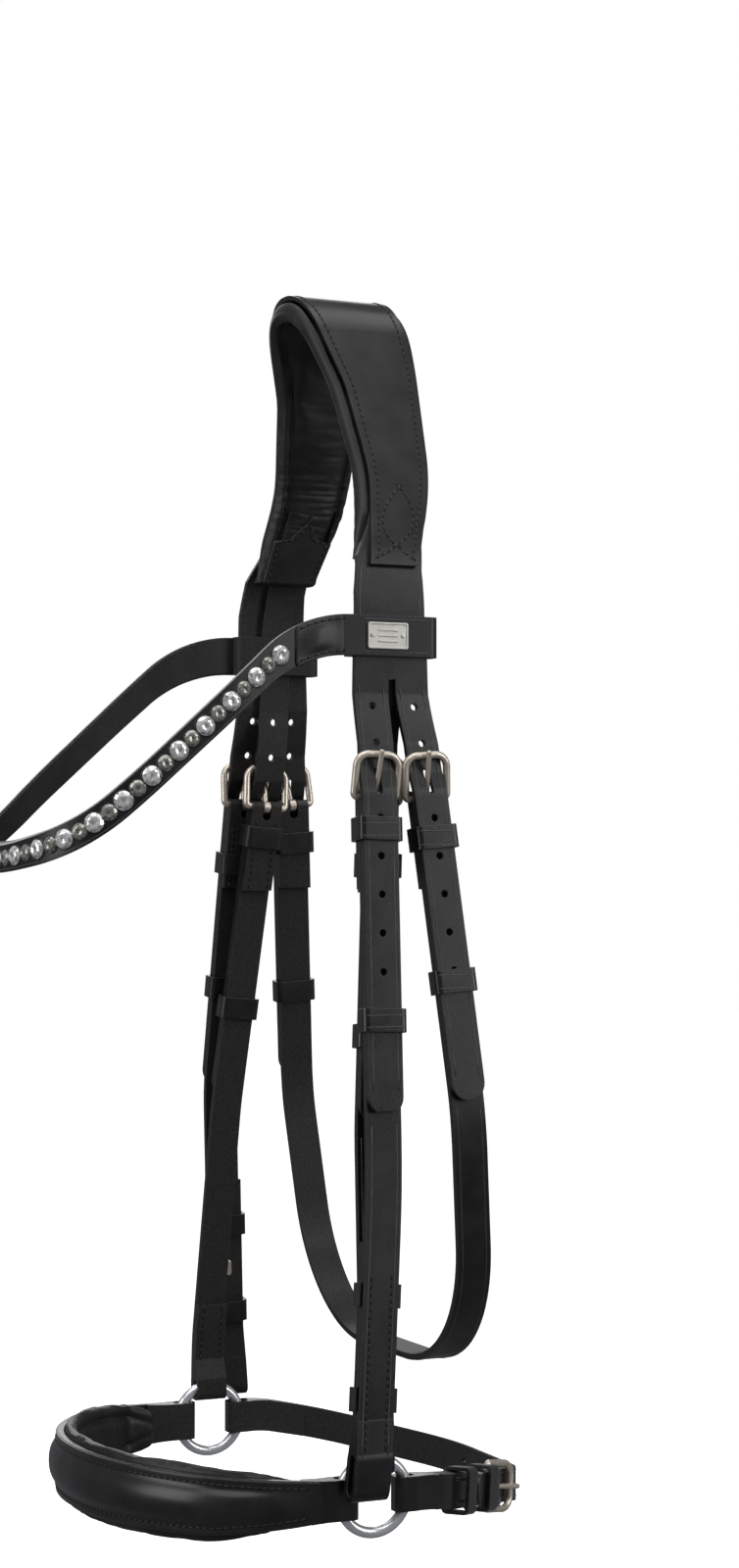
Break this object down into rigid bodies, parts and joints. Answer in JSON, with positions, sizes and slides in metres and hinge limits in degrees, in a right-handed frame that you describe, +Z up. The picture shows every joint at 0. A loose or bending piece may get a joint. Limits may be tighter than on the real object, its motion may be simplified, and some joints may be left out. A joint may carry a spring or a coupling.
{
  "type": "bridle",
  "caption": "Leather snaffle bridle with padded crown and noseband, crystal-studded curved browband, buckled cheekpieces and throatlatch, and noseband rings.",
  "frame": {"origin": "the poll seat: the middle of the crown's underside, where the bridle rests on the poll", "axes": "+Z up, -Y towards the nose, +X towards the horse's near (left) side"},
  "size_m": [0.2238, 0.2448, 0.544],
  "materials": {
    "strap_leather": "smooth black bridle leather, satin gloss",
    "lining_leather": "matte black leather, flesh side or lining",
    "padding_leather": "soft black nappa leather over foam",
    "ring_chrome": "polished",
    "buckle_nickel": "satin nickel",
    "plate_nickel": "satin nickel",
    "crystal_clear": "faceted clear crystal on foil",
    "crystal_smoke": "faceted smoke grey crystal on foil"
  },
  "bodies": {
    "root": {"crown_cover": "strap_leather", "crown_padding": "padding_leather", "far_cheek_buckle_frame": "buckle_nickel", "far_cheek_fixed_keeper": "strap_leather", "far_cheekpiece": "strap_leather", "far_hanger_buckle_frame": "buckle_nickel", "far_hanger_fixed_keeper": "strap_leather", "far_hook_stud": "buckle_nickel", "far_noseband_hanger": "strap_leather", "far_stud_lower_keeper": "strap_leather", "far_stud_upper_keeper": "strap_leather", "far_throat_buckle_frame": "buckle_nickel", "far_throat_fixed_keeper": "strap_leather", "headpiece": "strap_leather", "near_cheek_buckle_frame": "buckle_nickel", "near_cheek_fixed_keeper": "strap_leather", "near_cheekpiece": "strap_leather", "near_hanger_buckle_frame": "buckle_nickel", "near_hanger_fixed_keeper": "strap_leather", "near_hook_stud": "buckle_nickel", "near_noseband_hanger": "strap_leather", "near_stud_lower_keeper": "strap_leather", "near_stud_upper_keeper": "strap_leather", "near_throat_buckle_frame": "buckle_nickel", "near_throat_fixed_keeper": "strap_leather", "noseband_headstrap": "strap_leather", "throatlatch": "strap_leather"},
    "browband": {"browband": "strap_leather", "browband_lining": "lining_leather", "crystals_clear": "crystal_clear", "crystals_smoke": "crystal_smoke", "badge_plate": "plate_nickel", "badge_rivets": "plate_nickel"},
    "near_cheek_tongue": {"near_cheek_buckle_tongue": "buckle_nickel"},
    "near_cheek_runner": {"near_cheek_runner": "strap_leather"},
    "far_cheek_tongue": {"far_cheek_buckle_tongue": "buckle_nickel"},
    "far_cheek_runner": {"far_cheek_runner": "strap_leather"},
    "near_throat_tongue": {"near_throat_buckle_tongue": "buckle_nickel"},
    "near_throat_runner": {"near_throat_runner": "strap_leather"},
    "far_throat_tongue": {"far_throat_buckle_tongue": "buckle_nickel"},
    "far_throat_runner": {"far_throat_runner": "strap_leather"},
    "near_hanger_tongue": {"near_hanger_buckle_tongue": "buckle_nickel"},
    "near_hanger_runner": {"near_hanger_runner": "strap_leather"},
    "far_hanger_tongue": {"far_hanger_buckle_tongue": "buckle_nickel"},
    "far_hanger_runner": {"far_hanger_runner": "strap_leather"},
    "near_ring": {"near_noseband_ring": "ring_chrome"},
    "far_ring": {"far_noseband_ring": "ring_chrome"},
    "noseband_front": {"noseband_front": "strap_leather", "noseband_padding": "padding_leather"},
    "chin": {"chin_strap": "strap_leather", "chin_buckle_strap": "strap_leather", "chin_buckle_frame": "buckle_nickel", "chin_fixed_keeper": "strap_leather"},
    "chin_tongue": {"chin_buckle_tongue": "buckle_nickel"},
    "chin_runner": {"chin_runner": "strap_leather"}
  },
  "joints": [
    {"name": "browband_slide", "type": "slide", "parent": "root", "child": "browband", "axis": [0, 0, 1], "range_m": [-0.0025, 0.003]},
    {"name": "near_cheek_tongue_hinge", "type": "hinge", "parent": "root", "child": "near_cheek_tongue", "pos_m": [0.07405, -0.01444, -0.21546], "axis": [0.0045, 0.9993, -0.0361], "range_deg": [0, 15]},
    {"name": "near_cheek_runner_slide", "type": "slide", "parent": "root", "child": "near_cheek_runner", "axis": [-0.1242, 0.0364, 0.9916], "range_m": [-0.015, 0.04]},
    {"name": "far_cheek_tongue_hinge", "type": "hinge", "parent": "root", "child": "far_cheek_tongue", "pos_m": [-0.07405, -0.01444, -0.21546], "axis": [0.0045, -0.9993, 0.0361], "range_deg": [0, 15]},
    {"name": "far_cheek_runner_slide", "type": "slide", "parent": "root", "child": "far_cheek_runner", "axis": [0.1242, 0.0364, 0.9916], "range_m": [-0.02, 0.035]},
    {"name": "near_throat_tongue_hinge", "type": "hinge", "parent": "root", "child": "near_throat_tongue", "pos_m": [0.07405, 0.01007, -0.21546], "axis": [-0.01, 0.9967, 0.0802], "range_deg": [0, 15]},
    {"name": "near_throat_runner_slide", "type": "slide", "parent": "root", "child": "near_throat_runner", "axis": [-0.1239, -0.0808, 0.989], "range_m": [-0.025, 0.03]},
    {"name": "far_throat_tongue_hinge", "type": "hinge", "parent": "root", "child": "far_throat_tongue", "pos_m": [-0.07405, 0.01007, -0.21546], "axis": [-0.01, -0.9967, -0.0802], "range_deg": [0, 15]},
    {"name": "far_throat_runner_slide", "type": "slide", "parent": "root", "child": "far_throat_runner", "axis": [0.1239, -0.0808, 0.989], "range_m": [-0.02, 0.035]},
    {"name": "near_hanger_tongue_hinge", "type": "hinge", "parent": "root", "child": "near_hanger_tongue", "pos_m": [0.06323, -0.00781, -0.21681], "axis": [0.0107, 0.9963, -0.0855], "range_deg": [0, 5]},
    {"name": "near_hanger_runner_slide", "type": "slide", "parent": "root", "child": "near_hanger_runner", "axis": [-0.1238, 0.0862, 0.9886], "range_m": [-0.018, 0.045]},
    {"name": "far_hanger_tongue_hinge", "type": "hinge", "parent": "root", "child": "far_hanger_tongue", "pos_m": [-0.06323, -0.00781, -0.21681], "axis": [0.0107, -0.9963, 0.0855], "range_deg": [0, 5]},
    {"name": "far_hanger_runner_slide", "type": "slide", "parent": "root", "child": "far_hanger_runner", "axis": [0.1238, 0.0862, 0.9886], "range_m": [-0.022, 0.04]},
    {"name": "near_ring_spin", "type": "hinge", "parent": "root", "child": "near_ring", "pos_m": [0.0935, -0.024, -0.5074], "axis": [1, 0, 0], "continuous": true},
    {"name": "far_ring_spin", "type": "hinge", "parent": "root", "child": "far_ring", "pos_m": [-0.0935, -0.024, -0.5074], "axis": [1, 0, 0], "continuous": true},
    {"name": "noseband_front_swing", "type": "hinge", "parent": "root", "child": "noseband_front", "pos_m": [0, -0.024, -0.5074], "axis": [1, 0, 0], "range_deg": [-3, 25]},
    {"name": "chin_swing", "type": "hinge", "parent": "root", "child": "chin", "pos_m": [0, -0.024, -0.5074], "axis": [1, 0, 0], "range_deg": [-35, 6]},
    {"name": "chin_tongue_hinge", "type": "hinge", "parent": "chin", "child": "chin_tongue", "pos_m": [0.05298, 0.04932, -0.518], "axis": [0.1057, -0.1111, -0.9882], "range_deg": [0, 15]},
    {"name": "chin_runner_slide", "type": "slide", "parent": "chin", "child": "chin_runner", "axis": [-0.6814, 0.7157, -0.1534], "range_m": [-0.005, 0.012]}
  ]
}
